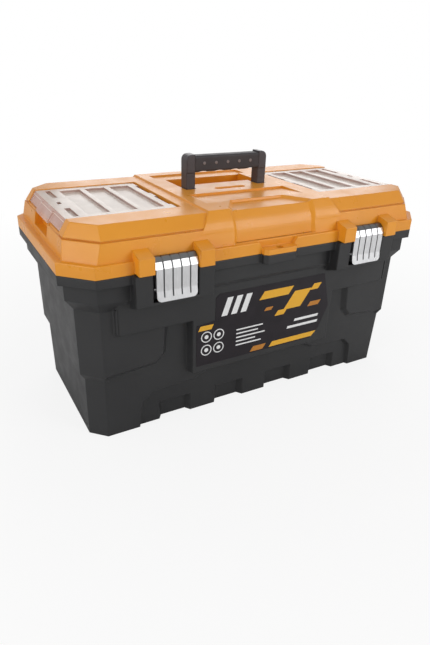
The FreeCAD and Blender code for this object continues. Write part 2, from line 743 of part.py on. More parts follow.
def front_panel_profile(depth):
    """What the panel takes away in side view, sunk by a depth."""
    top = "saddle_top_height + 2"
    line = front_line(depth)
    run_back = f"-({SADDLE_TOP_FRONT} - 4)"
    clear = f"-({HALF_DEPTH} - 2)"
    return [(run_back, top), (run_back, line[0][1])] + line + [(clear, line[-1][1]), (clear, top)]


def cut_front_panel(lid):
    """Shallow panel sunk into the front of the saddle, its sloping sides running over the top."""
    over = "0.5"
    full_run = f"front_panel_side_run * (front_panel_depth + {over}) / front_panel_depth"
    outer = f"front_panel_half_length + {full_run}"
    sections = (
        (f"-({outer})", f"-{over}"),
        ("-front_panel_half_length", "front_panel_depth"),
        ("front_panel_half_length", "front_panel_depth"),
        (outer, f"-{over}"),
    )
    sketches = []
    for index, (place, depth) in enumerate(sections):
        sketches.append(outline(lid, f"front_panel_section_{index}", "YZ_Plane",
                                front_panel_profile(depth), place))
    ruled_loft(lid, "front_panel", sketches, cut=True)
    floor = outline(lid, "panel_run_floor", "XY_Plane", panel_run_points("0"),
                    "saddle_top_height - front_panel_depth")
    mouth = outline(lid, "panel_run_mouth", "XY_Plane", panel_run_points(f"({full_run})"),
                    f"saddle_top_height + {over}")
    ruled_loft(lid, "front_panel_run", [floor, mouth], cut=True)


def panel_run_points(grow):
    """The panel's outline on top of the saddle, grown outwards all round."""
    half = [
        (f"front_panel_half_length + {grow}", f"-({SADDLE_TOP_FRONT} - 3)"),
        (f"front_panel_back_half_length + {grow} * 3 / 4", f"-(front_panel_back - {grow} / 4)"),
    ]
    return half + [(f"-({x})", y) for x, y in reversed(half)]


def slope_line(height, shift):
    """Length-wise place of the sloping lid end at a height, moved in by a shift."""
    lean = f"(({height}) - seam_height) * end_lean / (lid_top_height - seam_height)"
    return f"({SEAM_END} - {lean} - ({shift}))"


def wall_line(height, shift):
    """Length-wise place of the lid's end wall between rim and seam, moved in by a shift."""
    lean = f"(({height}) - {RIM_TOP}) * wall_lean / (seam_height - {RIM_TOP})"
    return f"({HALF_LENGTH} - lid_wall_end_inset - {lean} - ({shift}))"


def pad_across(lid, name, side, points, half_width):
    """A solid drawn in side view on one end of the lid and padded both ways from the middle."""
    if side < 0:
        points = [(f"-({x})", z) for x, z in points]
    sketch = outline(lid, f"{name}_profile", "XZ_Plane", points)
    return extrude(lid, name, sketch, f"2 * ({half_width})", middle=True)


def add_well_block(lid, side):
    """Walls of the organiser well, its seat frame and the backing of the finger notch."""
    word = side_name(side)
    block(lid, f"{word}_well_walls", across(side, "well_inner - well_wall", "well_outer + well_wall"),
          ("-(well_half_width + well_wall)", "well_half_width + well_wall"),
          ("well_bottom_height - well_wall", "lid_top_height - 1"))
    inner = f"{TROUGH_INNER} - wall"
    frame_bottom = "seam_height + 4"
    low = "seam_height - wall"
    top = "lid_top_height - 1"
    frame = [
        (inner, frame_bottom),
        (slope_line(frame_bottom, "7"), frame_bottom),
        (slope_line(low, "7"), low),
        (wall_line(low, "1.5"), low),
        (slope_line("seam_height", "2"), "seam_height"),
        (slope_line(top, "2"), top),
        (inner, top),
    ]
    pad_across(lid, f"{word}_seat_frame", side, frame, "cover_half_width + cover_gap + well_wall")
    notch_inner = f"{HALF_LENGTH} - lid_wall_end_inset - finger_notch_depth - wall"
    notch_bottom = "seam_height - finger_notch_height - wall"
    backing = [
        (notch_inner, notch_bottom),
        (wall_line(notch_bottom, "1.5"), notch_bottom),
        (wall_line("seam_height", "1.5"), "seam_height"),
        (notch_inner, "seam_height"),
    ]
    pad_across(lid, f"{word}_notch_backing", side, backing, "finger_notch_half_width + wall")


def cut_well(lid, side):
    """Seat of the cover, the well below it, the hinge trough and the finger notch."""
    word = side_name(side)
    width = "2 * (cover_half_width + cover_gap)"
    shift = "cover_end_inset + cover_end_thickness + seat_gap"
    end_bottom = "seam_height"
    points = [
        (TROUGH_INNER, SEAT_HEIGHT),
        (slope_line(SEAT_HEIGHT, shift), SEAT_HEIGHT),
        (slope_line(end_bottom, shift), end_bottom),
        (f"{HALF_LENGTH}", end_bottom),
        (f"{HALF_LENGTH}", "lid_top_height + 3"),
        (TROUGH_INNER, "lid_top_height + 3"),
    ]
    if side < 0:
        points = [(f"-({x})", z) for x, z in points]
    sketch = outline(lid, f"{word}_seat_profile", "XZ_Plane", points)
    extrude(lid, f"{word}_seat", sketch, width, cut=True, middle=True)
    block(lid, f"{word}_well", across(side, "well_inner", "well_outer"),
          ("-well_half_width", "well_half_width"),
          ("well_bottom_height", "lid_top_height"), cut=True)
    block(lid, f"{word}_trough", across(side, TROUGH_INNER, "well_inner + 1"),
          ("-(cover_half_width + cover_gap)", "cover_half_width + cover_gap"),
          (f"{COVER_HINGE_HEIGHT} - cover_barrel_radius - trough_gap", "lid_top_height"), cut=True)
    notch_inner = f"{HALF_LENGTH} - lid_wall_end_inset - finger_notch_depth"
    block(lid, f"{word}_finger_notch", across(side, notch_inner, HALF_LENGTH),
          ("-finger_notch_half_width", "finger_notch_half_width"),
          ("seam_height - finger_notch_height", "seam_height + 1"), cut=True)
    round_bar(lid, f"{word}_cover_rod_bore", "y", "-(cover_half_width + 8)",
              (f"{side} * cover_hinge_place", COVER_HINGE_HEIGHT),
              "2 * (cover_half_width + 8)", "cover_rod_radius", cut=True)


def add_latch_guards(lid, side):
    """The two blocks on the rim beside a latch, and the pocket in the rim under its hook."""
    hook_half = "(hook_length / 2 + 2 * parting_gap)"
    block(lid, f"{side_name(side)}_hook_pocket",
          (f"{side} * latch_centre - {hook_half}", f"{side} * latch_centre + {hook_half}"),
          (f"-({HALF_DEPTH} + 1)", "-(hook_back - 0.5)"),
          (f"{LID_BOTTOM} - 1", f"{RIM_TOP} + 1"), cut=True)
    profile = [
        ("-front_reach", "block_foot_height"),
        ("-front_reach", "block_face_height"),
        (f"-({HALF_DEPTH} - lid_wall_front_inset - 3)", "block_top_height"),
        (f"-({HALF_DEPTH} - lid_wall_front_inset - 3)", "block_foot_height"),
    ]
    for end in (-1, 1):
        middle = f"{side} * latch_centre + {end} * (pad_recess_length / 2 - 1 + block_length / 2)"
        name = f"{side_name(side)}_latch_{side_name(end)}_guard"
        sketch = outline(lid, f"{name}_profile", "YZ_Plane", profile, middle)
        extrude(lid, name, sketch, "block_length", middle=True)


def add_lid_tab(lid):
    tab = outline(lid, "tab_outline", "XY_Plane", tab_outline(), LID_BOTTOM)
    extrude(lid, "padlock_tab", tab, "tab_thickness")
    dip = [
        ("tab_half_length - 1", f"{LID_BOTTOM} + tab_thickness"),
        ("tab_half_length + 5", f"{RIM_TOP} + 1"),
    ]
    dip += [(f"-({x})", z) for x, z in reversed(dip)]
    sketch = outline(lid, "rim_dip_outline", "XZ_Plane", dip,
                     f"{HALF_DEPTH} - lid_wall_front_inset")
    extrude(lid, "rim_dip", sketch, "lid_wall_front_inset + 1", cut=True)
    round_bar(lid, "padlock_hole", "z", f"{LID_BOTTOM} - 1", ("0", "-padlock_hole_place"),
              "tab_thickness + 2", "padlock_hole_radius", cut=True)


def add_handle_mount(lid):
    """Recess for the folded handle, with a slot and a pin bore for each leg."""
    slot_outer = "handle_half_width + handle_clearance"
    slot_inner = "handle_half_width - handle_leg_width - handle_clearance"
    slot_front = "handle_pivot_place - handle_depth / 2 - handle_clearance"
    slot_back = "handle_pivot_place + handle_depth / 2 + 7"
    margin = "handle_clearance + 4 * wall"
    block(lid, "handle_block",
          (f"-({slot_outer} + 3 * wall)", f"{slot_outer} + 3 * wall"),
          (f"{slot_front} - {margin}", "handle_recess_back + wall"),
          ("handle_recess_bottom - wall", "saddle_top_height - 1"))
    block(lid, "handle_recess", (f"-({slot_outer})", slot_outer),
          (slot_back, "handle_recess_back"),
          ("handle_recess_bottom", "saddle_top_height + 1"), cut=True)
    for side in (-1, 1):
        block(lid, f"{side_name(side)}_leg_slot", across(side, slot_inner, slot_outer),
              (slot_front, f"{slot_back} + 1"),
              ("handle_recess_bottom", "saddle_top_height + 1"), cut=True)
    pin_reach = "handle_half_width - handle_leg_width / 2 + handle_pin_length / 2"
    round_bar(lid, "handle_pin_bore", "x", f"-({pin_reach})",
              ("handle_pivot_place", "handle_pivot_height"), f"2 * ({pin_reach})",
              "handle_pin_radius", cut=True)


def make_lid_shell():
    lid = new_body("lid_shell")
    add_lid_shell(lid)
    add_saddle(lid)
    rounded(lid, "rim_edges", "rim_edge_rounding", lid_rim_edge)
    foot, seam, step, top = lid_levels("wall")
    octagon_stack(lid, "lid_cavity", [
        (f"{LID_BOTTOM} - 1", *foot),
        (RIM_TOP, *foot),
        ("seam_height", *step),
        ("lid_top_height - wall", *top),
    ], cut=True)
    for side in (-1, 1):
        add_well_block(lid, side)
    add_handle_mount(lid)
    cut_saddle_top(lid)
    cut_thumb_scoop(lid)
    add_front_panel_backing(lid)
    cut_front_panel(lid)
    for side in (-1, 1):
        cut_well(lid, side)
        add_latch_guards(lid, side)
        spans = (("-knuckle_length / 2", "knuckle_length / 2"),)
        add_hinge_knuckles(lid, f"{side_name(side)}_hinge", f"{side} * hinge_centre", spans,
                           ("hinge_height", f"{RIM_TOP} - 2"))
    add_lid_tab(lid)
    return lid


def lid_rim_edge(box):
    """True for the top edge of the rim and the top edge of the organiser blocks."""
    flat = box.ZLength < 0.01
    rim = near(box.ZMin, RIM_TOP) and max(abs(box.YMin), abs(box.XMin)) > number(f"{HALF_DEPTH} - 1")
    rim = rim and (near(max(abs(box.YMin), abs(box.YMax)), HALF_DEPTH)
                   or near(max(abs(box.XMin), abs(box.XMax)), HALF_LENGTH))
    outside_saddle = max(abs(box.XMin), abs(box.XMax)) > number("saddle_half_foot + 1")
    top = near(box.ZMin, "lid_top_height") and outside_saddle
    return flat and (rim or top)


# Organiser covers, their rods and dividers

def cover_pockets():
    """Length-wise and width-wise spans of the pockets sunk into a cover."""
    first = "well_inner + 2 * cover_thickness + 4"
    last = "well_outer - cover_corner_pocket"
    pitch = f"(({last}) - ({first})) / 3"
    half = "well_half_width - 2 * cover_thickness - 5"
    spans = []
    for index in range(3):
        low = f"({first}) + {index} * {pitch}"
        spans.append(((low, f"{low} + {pitch} - cover_bar_width"), (f"-({half})", half)))
    return spans


def make_cover(side):
    word = side_name(side)
    cover = new_body(f"{word}_organiser_cover")
    under = f"{COVER_TOP} - cover_thickness"
    start = "cover_hinge_place + cover_barrel_radius + 0.5"
    points = [
        (start, under),
        (slope_line(under, COVER_END_BACK), under),
        (slope_line("cover_end_height", COVER_END_BACK), "cover_end_height"),
        (slope_line("cover_end_height", "cover_end_inset"), "cover_end_height"),
        (slope_line(COVER_TOP, "cover_end_inset"), COVER_TOP),
        (start, COVER_TOP),
    ]
    if side < 0:
        points = [(f"-({x})", z) for x, z in points]
    sketch = outline(cover, "plate_profile", "XZ_Plane", points)
    extrude(cover, "plate", sketch, "2 * cover_half_width", middle=True)
    floor = f"{COVER_TOP} - cover_pocket_depth"
    corner_low = "well_outer - cover_corner_pocket + cover_bar_width / 2"
    corner_half = "finger_notch_half_width - 4"
    corner_outer = "well_half_width - 2 * cover_thickness"
    shell_spans = list(cover_pockets())
    for end in (-1, 1):
        shell_spans.append(((corner_low, "well_outer - 1 - cover_thickness"),
                            across(end, corner_half, corner_outer)))
    for index, ((x_low, x_high), (y_low, y_high)) in enumerate(shell_spans):
        x_pair = across(side, f"({x_low}) - cover_thickness", f"({x_high}) + cover_thickness")
        block(cover, f"pocket_shell_{index}", x_pair,
              (f"({y_low}) - cover_thickness", f"({y_high}) + cover_thickness"),
              (f"{floor} - cover_thickness", f"{under} + 0.5"))
    for index, ((x_low, x_high), (y_low, y_high)) in enumerate(shell_spans):
        block(cover, f"pocket_{index}", across(side, x_low, x_high), (y_low, y_high),
              (floor, f"{COVER_TOP} + 1"), cut=True)
    block(cover, "slot", across(side, "well_outer - 2 - cover_slot_width", "well_outer - 2"),
          ("-cover_slot_half_length", "cover_slot_half_length"),
          (f"{under} - 1", f"{COVER_TOP} + 1"), cut=True)
    add_cover_tongue(cover, side)
    add_cover_barrels(cover, side)
    return cover


def add_cover_tongue(cover, side):
    """Raised middle of the sloping end, which a finger pulls up."""
    low, high = slope_line("cover_end_height", COVER_END_BACK), slope_line("cover_end_height", "-1.4")
    points = [
        (slope_line(COVER_TOP, COVER_END_BACK), COVER_TOP),
        (low, "cover_end_height"),
        (low, "cover_end_height - 3"),
        (high, "cover_end_height - 3"),
        (high, "cover_end_height"),
        (slope_line(f"{COVER_TOP} - 2", "-0.6"), f"{COVER_TOP} - 2"),
    ]
    if side < 0:
        points = [(f"-({x})", z) for x, z in points]
    sketch = outline(cover, "tongue_profile", "XZ_Plane", points)
    extrude(cover, "tongue", sketch, "2 * (finger_notch_half_width - 3)", middle=True)


def add_cover_barrels(cover, side):
    """Three hinge barrels on the inner edge, bored for the rod."""
    inner = "cover_hinge_place + cover_barrel_radius + 1.5"
    half = "cover_barrel_length / 2"
    end = "cover_half_width - 2 - cover_barrel_length / 2"
    for name, middle in (("front", f"-({end})"), ("middle", "0"), ("rear", end)):
        round_bar(cover, f"{name}_barrel", "y", f"{middle} - {half}",
                  (f"{side} * cover_hinge_place", COVER_HINGE_HEIGHT), "cover_barrel_length",
                  "cover_barrel_radius")
        block(cover, f"{name}_barrel_web", across(side, "cover_hinge_place", inner),
              (f"{middle} - {half}", f"{middle} + {half}"),
              (f"{COVER_TOP} - cover_thickness", f"{COVER_TOP} - 0.2"))
    round_bar(cover, "rod_bore", "y", "-cover_half_width - 1",
              (f"{side} * cover_hinge_place", COVER_HINGE_HEIGHT), "2 * cover_half_width + 2",
              "cover_rod_radius + rod_clearance", cut=True)


def make_cover_rod(side):
    rod = new_body(f"{side_name(side)}_cover_hinge_rod")
    round_bar(rod, "rod", "y", "-(cover_half_width + 7)",
              (f"{side} * cover_hinge_place", COVER_HINGE_HEIGHT),
              "2 * (cover_half_width + 7)", "cover_rod_radius")
    return rod


def make_dividers(side):
    """Three upright plates that part each organiser well, joined as one set."""
    shapes = []
    low, high = number("well_inner"), number("well_outer")
    thickness = number("divider_thickness")
    half = number("well_half_width")
    for index in (1, 2, 3):
        middle = side * (low + (high - low) * index / 4)
        corner = FreeCAD.Vector(middle - thickness / 2, -half, number("well_bottom_height"))
        shapes.append(Part.makeBox(thickness, 2 * half, number("divider_height"), corner))
    dividers = doc.addObject("Part::Feature", f"{side_name(side)}_organiser_dividers")
    dividers.Label = f"{side_name(side)}_organiser_dividers"
    dividers.Shape = Part.makeCompound(shapes)
    return dividers


# Carry handle

def make_handle_frame():
    """Two legs with round feet and a slim core bar that the grip is moulded over.

    Each leg steps out front and back at the underside of the grip.
    """
    frame = new_body("handle_frame")
    inner = "handle_half_width - handle_leg_width"
    shank = "(handle_depth / 2 - leg_step)"
    step_height = "handle_top_height - grip_drop - grip_height"
    for side in (-1, 1):
        word = side_name(side)
        leg_x = across(side, inner, "handle_half_width")
        block(frame, f"{word}_shank", leg_x,
              (f"handle_pivot_place - {shank}", f"handle_pivot_place + {shank}"),
              ("handle_pivot_height", f"{step_height} + 1"))
        block(frame, f"{word}_shoulder", leg_x,
              ("handle_pivot_place - handle_depth / 2", "handle_pivot_place + handle_depth / 2"),
              (step_height, "handle_top_height"))
        round_bar(frame, f"{word}_foot", "x", leg_x[0],
                  ("handle_pivot_place", "handle_pivot_height"), "handle_leg_width", shank)
    core_top = "handle_top_height - grip_drop - (grip_height - handle_core_height) / 2"
    block(frame, "core_bar", (f"-({inner}) - 1", f"{inner} + 1"),
          ("handle_pivot_place - handle_core_depth / 2", "handle_pivot_place + handle_core_depth / 2"),
          (f"{core_top} - handle_core_height", core_top))
    rounded(frame, "top_corners", "leg_top_rounding", handle_top_edge)
    rounded(frame, "leg_edges", "leg_edge_rounding", handle_leg_edge)
    round_bar(frame, "pin_bore", "x", "-handle_half_width - 1",
              ("handle_pivot_place", "handle_pivot_height"), "2 * handle_half_width + 2",
              "handle_pin_radius + rod_clearance", cut=True)
    return frame


def handle_top_edge(box):
    top = near(box.ZMin, "handle_top_height")
    outer = near(max(abs(box.XMin), abs(box.XMax)), "handle_half_width")
    return top and outer and box.XLength < 0.01


def handle_leg_edge(box):
    upright = box.YLength < 0.01 and box.XLength < 0.01
    return upright and near(box.ZMin, "handle_top_height - grip_drop - grip_height")


def make_handle_grip():
    """Soft sleeve between the legs, with finger scallops below and a row of studs in front."""
    grip = new_body("handle_grip")
    half = "handle_half_width - handle_leg_width"
    top = "handle_top_height - grip_drop"
    half_depth = "handle_depth / 2 - grip_inset"
    block(grip, "sleeve", (f"-({half})", half),
          (f"handle_pivot_place - ({half_depth})", f"handle_pivot_place + {half_depth}"),
          (f"{top} - grip_height", top))
    rounded(grip, "sleeve_edges", "grip_edge_rounding", long_edge)
    for index in range(4):
        place = f"({index} - 1.5) * ({half}) / 2"
        round_bar(grip, f"finger_scallop_{index}", "y", "-handle_depth",
                  (place, f"{top} - grip_height - scallop_radius + scallop_rise"),
                  "3 * handle_depth", "scallop_radius", cut=True)
    core_top = "handle_top_height - grip_drop - (grip_height - handle_core_height) / 2"
    block(grip, "core_hole", (f"-({half}) - 1", f"{half} + 1"),
          ("handle_pivot_place - handle_core_depth / 2", "handle_pivot_place + handle_core_depth / 2"),
          (f"{core_top} - handle_core_height", core_top), cut=True)
    for index in range(5):
        round_bar(grip, f"stud_{index}", "y",
                  f"handle_pivot_place - ({half_depth}) - stud_proud",
                  (f"({index} - 2) * ({half}) / 2.75", f"{top} - grip_height / 2 + 1"),
                  "2 * stud_proud", "stud_radius")
    return grip


def long_edge(box):
    return box.XLength > number("handle_half_width")


def make_handle_pins():
    """One pivot pin through each leg, as one set of two."""
    shapes = []
    centre = number("handle_half_width - handle_leg_width / 2")
    length = number("handle_pin_length")
    radius = number("handle_pin_radius")
    for side in (-1, 1):
        start = FreeCAD.Vector(side * centre - length / 2, number("handle_pivot_place"),
                               number("handle_pivot_height"))
        shapes.append(Part.makeCylinder(radius, length, start, FreeCAD.Vector(1, 0, 0)))
    pins = doc.addObject("Part::Feature", "handle_pivot_pins")
    pins.Label = "handle_pivot_pins"
    pins.Shape = Part.makeCompound(shapes)
    return pins


# Latches

def lever_profile():
    """Side view of the bent sheet: hook, shoulder, facet, flat and flared pull, front face first."""
    sheet_y = "latch_sheet"
    front = [
        ("-hook_back", "hook_bottom_height + latch_sheet"),
        ("-hook_shoulder_place", "hook_bottom_height + latch_sheet"),
        ("-(latch_front - facet_run)", "facet_top_height"),
        ("-latch_front", "facet_foot_height"),
        ("-latch_front", "lever_bend_height"),
        ("-(latch_front + lever_flare)", "lever_bottom_height"),
    ]
    back = [
        (f"-(latch_front + lever_flare - {sheet_y})", "lever_bottom_height"),
        (f"-(latch_front - {sheet_y})", "lever_bend_height"),
        (f"-(latch_front - {sheet_y})", "facet_foot_height"),
        (f"-(latch_front - facet_run - 0.8 * {sheet_y})", f"facet_top_height - 0.65 * {sheet_y}"),
        (f"-(hook_shoulder_place - 0.35 * {sheet_y})", "hook_bottom_height"),
        ("-hook_back", "hook_bottom_height"),
    ]
    return front + back


def make_lever(side):
    """Latch plate with its hook over the lid rim and two ears for the bail."""
    lever = new_body(f"{side_name(side)}_latch_lever")
    centre = f"{side} * latch_centre"
    profile = outline(lever, "sheet_profile", "YZ_Plane", lever_profile(), centre)
    extrude(lever, "sheet", profile, "hook_length", middle=True)
    for end in (-1, 1):
        word = side_name(end)
        trim = across(end, "lever_length / 2", "hook_length / 2 + 1")
        block(lever, f"{word}_trim", (f"{centre} + ({trim[0]})", f"{centre} + ({trim[1]})"),
              ("-(latch_front + 5)", "-(latch_front - 5)"),
              ("lever_bottom_height - 1", "facet_foot_height"), cut=True)
    rounded(lever, "pull_corners", "pull_corner_rounding", lambda box: lever_corner(box, side))
    for end in (-1, 1):
        word = side_name(end)
        ear = across(end, "lever_length / 2 - latch_sheet", "lever_length / 2")
        block(lever, f"{word}_ear", (f"{centre} + ({ear[0]})", f"{centre} + ({ear[1]})"),
              ("-(latch_front - latch_sheet / 2)", "-ear_reach"),
              ("lever_pivot_height - 3", "facet_foot_height - 1"))
    round_bar(lever, "bail_bore", "x", f"{centre} - lever_length",
              ("-bail_axis_place", "lever_pivot_height"), "2 * lever_length",
              "bail_wire_radius + rod_clearance", cut=True)
    flare_share = "(lever_bend_height - groove_end_height) / (lever_bend_height - lever_bottom_height)"
    pull_front = f"(latch_front + lever_flare * {flare_share})"
    for index in range(4):
        place = f"{centre} + ({index} - 1.5) * groove_pitch"
        groove = [(y, z) for y, z in lever_profile()[:5]]
        groove += [
            (f"-{pull_front}", "groove_end_height"),
            (f"-{pull_front} + groove_depth", "groove_end_height"),
            ("-latch_front + groove_depth", "lever_bend_height"),
            ("-latch_front + groove_depth", "facet_foot_height"),
            ("-(latch_front - facet_run) + groove_depth / 2", "facet_top_height - groove_depth / 2"),
            ("-hook_shoulder_place", "hook_bottom_height + latch_sheet - groove_depth"),
            ("-hook_back", "hook_bottom_height + latch_sheet - groove_depth"),
        ]
        sketch = outline(lever, f"groove_profile_{index}", "YZ_Plane", groove, place)
        extrude(lever, f"groove_{index}", sketch, "groove_width", cut=True, middle=True)
    return lever


def lever_corner(box, side):
    low = box.ZLength < 0.01 and near(box.ZMin, "lever_bottom_height")
    outer = abs(abs(box.XMin - side * number("latch_centre")) - number("lever_length / 2")) < 0.02
    return low and outer and box.XLength < 0.01


def make_bail(side):
    """Wire link: a cross bar in the tub's lug, two arms, and ends turned out into the ears."""
    bail = new_body(f"{side_name(side)}_latch_bail")
    centre = f"{side} * latch_centre"
    round_bar(bail, "cross_bar", "x", f"{centre} - bail_half_length",
              ("-bail_axis_place", "bail_pivot_height"), "2 * bail_half_length",
              "bail_wire_radius")
    for end in (-1, 1):
        word = side_name(end)
        arm = f"{centre} + {end} * bail_half_length"
        round_bar(bail, f"{word}_arm", "z", "lever_pivot_height", (arm, "-bail_axis_place"),
                  "bail_pivot_height - lever_pivot_height", "bail_wire_radius")
        for name, height in (("upper", "bail_pivot_height"), ("lower", "lever_pivot_height")):
            knee = bail.newObject("PartDesign::AdditiveSphere", f"{word}_{name}_knee")
            knee.setExpression("Radius", bound("bail_wire_radius"))
            knee.setExpression("Placement.Base.x", bound(arm))
            knee.setExpression("Placement.Base.y", bound("-bail_axis_place"))
            knee.setExpression("Placement.Base.z", bound(height))
        reach = across(end, "bail_half_length", "bail_end_reach")
        round_bar(bail, f"{word}_end", "x", f"{centre} + ({reach[0]})",
                  ("-bail_axis_place", "lever_pivot_height"), "bail_end_reach - bail_half_length",
                  "bail_wire_radius")
    return bail


# Rear hinge rods, label and tray

def make_hinge_rod(side):
    rod = new_body(f"{side_name(side)}_lid_hinge_rod")
    length = "hinge_length + 4"
    round_bar(rod, "rod", "x", f"{side} * hinge_centre - ({length}) / 2",
              (HINGE_PLACE, "hinge_height"), length, "hinge_rod_radius")
    return rod


def make_label():
    """Thin printed plate on the front panel, with a stepped left side."""
    label = new_body("front_label")
    points = [
        ("-label_half_length", "label_bottom_height"),
        ("label_half_length - 2 * label_side_lean", "label_bottom_height"),
        ("label_half_length - label_side_lean", "label_bottom_height + 14"),
        ("label_half_length", "label_step_height - 16"),
        ("label_half_length - label_side_lean", "label_top_height"),
        ("-(label_half_length - label_step_length - 6)", "label_top_height"),
        ("-(label_half_length - label_step_length)", "label_top_height - 5"),
        ("-(label_half_length - label_step_length)", "label_step_height"),
        ("-label_half_length", "label_step_height - 3"),
    ]
    sketch = outline(label, "label_outline", "XZ_Plane", points, LABEL_BACK)
    extrude(label, "label", sketch, "label_thickness")
    return label


def make_tray():
    tray = new_body("inner_tray")
    outer_x = f"{INNER_LENGTH} - tray_side_gap"
    outer_y = f"{BELT_FRONT} - wall - tray_side_gap"
    wall_x = f"{outer_x} - tray_wall"
    wall_y = f"{outer_y} - tray_wall"
    body_outline = outline(tray, "tray_outline", "XY_Plane",
                           octagon(outer_x, outer_y, "belt_cut"), "tray_bottom_height")
    extrude(tray, "tray_body", body_outline, "tray_top_height - tray_bottom_height")
    flange = outline(tray, "tray_flange_outline", "XY_Plane",
                     octagon(f"{LEDGE_LENGTH} - tray_flange_gap",
                             f"{LEDGE_DEPTH} - tray_flange_gap", "collar_cut"),
                     "collar_bottom_height")
    extrude(tray, "tray_flange", flange, "tray_flange_thickness")
    for side, word in ((-1, "front"), (1, "rear")):
        half = [
            (wall_x, f"{side} * tray_spine / 2"),
            (wall_x, f"{side} * ({wall_y} - belt_cut)"),
            (f"{wall_x} - belt_cut", f"{side} * ({wall_y})"),
        ]
        points = half + [(f"-({x})", y) for x, y in reversed(half)]
        well = outline(tray, f"{word}_tray_well_outline", "XY_Plane", points,
                       "tray_bottom_height + tray_wall")
        extrude(tray, f"{word}_tray_well", well, "tray_top_height - tray_bottom_height", cut=True)
    block(tray, "spine_hollow", (f"-({wall_x})", wall_x),
          ("-(tray_spine / 2 - tray_wall)", "tray_spine / 2 - tray_wall"),
          ("tray_bottom_height - 1", "tray_top_height - tray_wall"), cut=True)
    return tray


def make_tray_handle():
    """Low bow that stands on the tray's spine."""
    handle = new_body("tray_handle")
    bar = "tray_handle_bar"
    for side in (-1, 1):
        block(handle, f"{side_name(side)}_post",
              across(side, f"tray_handle_half_length - {bar}", "tray_handle_half_length"),
              (f"-{bar} / 2", f"{bar} / 2"), ("tray_top_height", "tray_handle_top_height"))
    block(handle, "bow", ("-tray_handle_half_length", "tray_handle_half_length"),
          (f"-{bar} / 2", f"{bar} / 2"),
          (f"tray_handle_top_height - {bar}", "tray_handle_top_height"))
    return handle


def make_tray_dividers():
    """Two cross plates in each half of the tray, as one set of four."""
    shapes = []
    thickness = number("divider_thickness")
    floor = number("tray_bottom_height + tray_wall")
    height = number("tray_top_height - 2") - floor
    near_y = number("tray_spine / 2")
    far_y = number(f"{BELT_FRONT} - wall - tray_side_gap - tray_wall")
    place = number(f"({INNER_LENGTH}) / 3")
    for side in (-1, 1):
        for end in (-1, 1):
            low = near_y if side > 0 else -far_y
            corner = FreeCAD.Vector(end * place - thickness / 2, low, floor)
            shapes.append(Part.makeBox(thickness, far_y - near_y, height, corner))
    dividers = doc.addObject("Part::Feature", "tray_dividers")
    dividers.Label = "tray_dividers"
    dividers.Shape = Part.makeCompound(shapes)
    return dividers


pieces = [
    make_base_tub(),
    make_label(),
    make_lid_shell(),
    make_handle_frame(),
    make_handle_grip(),
    make_handle_pins(),
    make_tray(),
    make_tray_handle(),
    make_tray_dividers(),
]
for hand in (-1, 1):
    pieces += [
        make_hinge_rod(hand),
        make_cover(hand),
        make_cover_rod(hand),
        make_dividers(hand),
        make_lever(hand),
        make_bail(hand),
    ]

doc.recompute()
for item in doc.Objects:
    if "Invalid" in item.State or "Error" in item.State:
        raise RuntimeError(f"{item.Label} did not compute")
for piece in pieces:
    if piece.Shape.isNull() or not piece.Shape.isValid():
        raise RuntimeError(f"{piece.Label} has no valid solid")
    box = piece.Shape.BoundBox
    print(piece.Label, len(piece.Shape.Solids), "solids", round(piece.Shape.Volume),
          [round(v, 1) for v in (box.XMin, box.YMin, box.ZMin, box.XMax, box.YMax, box.ZMax)])

os.makedirs("parts", exist_ok=True)
for piece in pieces:
    piece.Shape.exportStep(f"parts/{piece.Label}.step")
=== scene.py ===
import math

import bpy
from mathutils import Matrix, Vector

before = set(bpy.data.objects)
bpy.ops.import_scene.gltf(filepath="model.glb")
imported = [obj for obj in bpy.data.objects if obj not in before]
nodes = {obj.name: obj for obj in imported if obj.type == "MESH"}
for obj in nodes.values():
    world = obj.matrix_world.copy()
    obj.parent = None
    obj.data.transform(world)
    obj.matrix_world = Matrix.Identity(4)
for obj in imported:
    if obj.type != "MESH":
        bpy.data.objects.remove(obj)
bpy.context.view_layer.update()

MM = 0.001

# Noise lies mostly between these two values
NOISE_LOW, NOISE_HIGH = 0.3, 0.7

# Sockets of a colour mix: the colour below, the ink on top, and the result
MIX_BELOW, MIX_INK, MIX_RESULT = 6, 7, 2

EDGE_SAMPLES = 6
RELIEF_DEPTH = 0.0002


# Node helpers

def new_finish(name):
    """A material with its shader, and the object's own coordinates to draw patterns on."""
    finish = bpy.data.materials.new(name)
    finish.use_nodes = True
    tree = finish.node_tree
    shader = next(n for n in tree.nodes if n.type == "BSDF_PRINCIPLED")
    place = tree.nodes.new("ShaderNodeTexCoord").outputs["Object"]
    return finish, tree, shader, place


def add_node(tree, kind, **inputs):
    """A node with its inputs set or linked; an underscore stands for a space in a name."""
    node = tree.nodes.new(kind)
    for socket, value in inputs.items():
        target = node.inputs[socket.replace("_", " ")]
        if isinstance(value, bpy.types.NodeSocket):
            tree.links.new(value, target)
        else:
            target.default_value = value
    return node


def math_node(tree, operation, *values):
    """The result of one sum on numbers or sockets."""
    node = tree.nodes.new("ShaderNodeMath")
    node.operation = operation
    for socket, value in zip(node.inputs, values):
        if isinstance(value, bpy.types.NodeSocket):
            tree.links.new(value, socket)
        else:
            socket.default_value = value
    return node.outputs[0]


def noise(tree, place, scale, detail=2.0, stretch=None):
    """Soft cloudy variation, about one patch to each 1/scale metres."""
    if stretch:
        mapping = add_node(tree, "ShaderNodeMapping", Vector=place, Scale=stretch)
        place = mapping.outputs["Vector"]
    node = add_node(tree, "ShaderNodeTexNoise", Vector=place, Scale=scale, Detail=detail)
    return node.outputs["Fac"]


